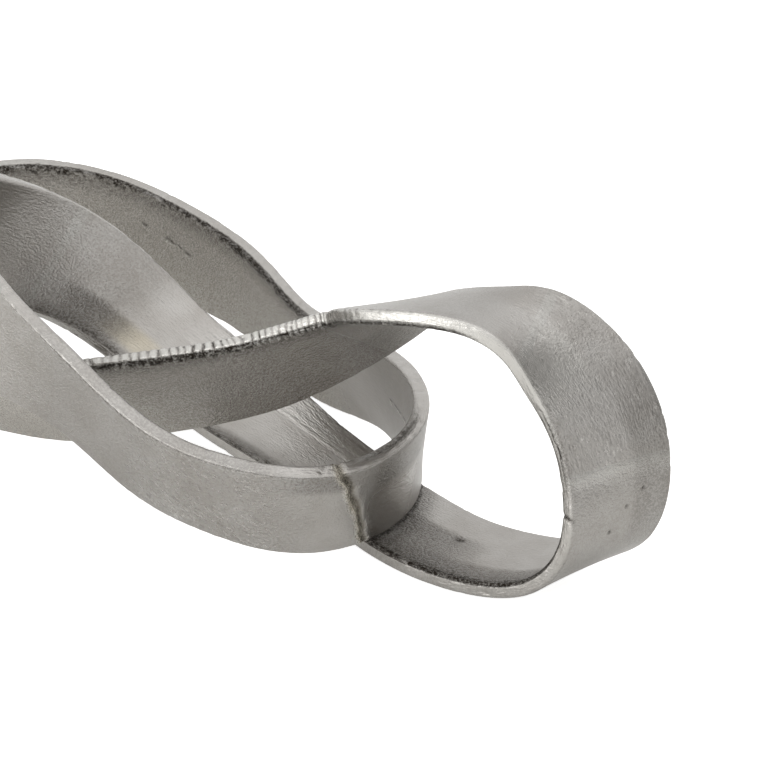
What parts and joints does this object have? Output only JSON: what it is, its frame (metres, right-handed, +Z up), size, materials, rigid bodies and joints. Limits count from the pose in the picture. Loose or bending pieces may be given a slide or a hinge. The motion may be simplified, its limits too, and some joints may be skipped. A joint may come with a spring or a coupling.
{
  "type": "metal knot sculpture",
  "caption": "Free-standing sculpture: one flat, rounded metal band that runs through a closed overhand knot, cast in curved limbs and welded end to end.",
  "frame": {"origin": "on the surface that the knot stands on, under the middle of its box", "axes": "+X along the knot's long way towards the big upright loop, +Y towards the tall back limb, +Z up"},
  "size_m": [0.4528, 0.202, 0.1531],
  "materials": {
    "cast_metal": "sand cast, ground and satin polished",
    "weld_metal": "welded, ground nearly flush and satin polished"
  },
  "bodies": {
    "root": {"upright_loop_limb": "cast_metal", "loop_crown_limb": "cast_metal", "top_limb": "cast_metal", "left_loop_limb": "cast_metal", "back_limb": "cast_metal", "small_loop_limb": "cast_metal", "front_limb": "cast_metal", "inner_loop_limb": "cast_metal", "low_limb": "cast_metal", "low_to_upright_weld": "weld_metal", "upright_to_crown_weld": "weld_metal", "crown_to_top_weld": "weld_metal", "top_to_left_weld": "weld_metal", "left_to_back_weld": "weld_metal", "back_to_small_weld": "weld_metal", "small_to_front_weld": "weld_metal", "front_to_inner_weld": "weld_metal", "inner_to_low_weld": "weld_metal"}
  },
  "joints": []
}
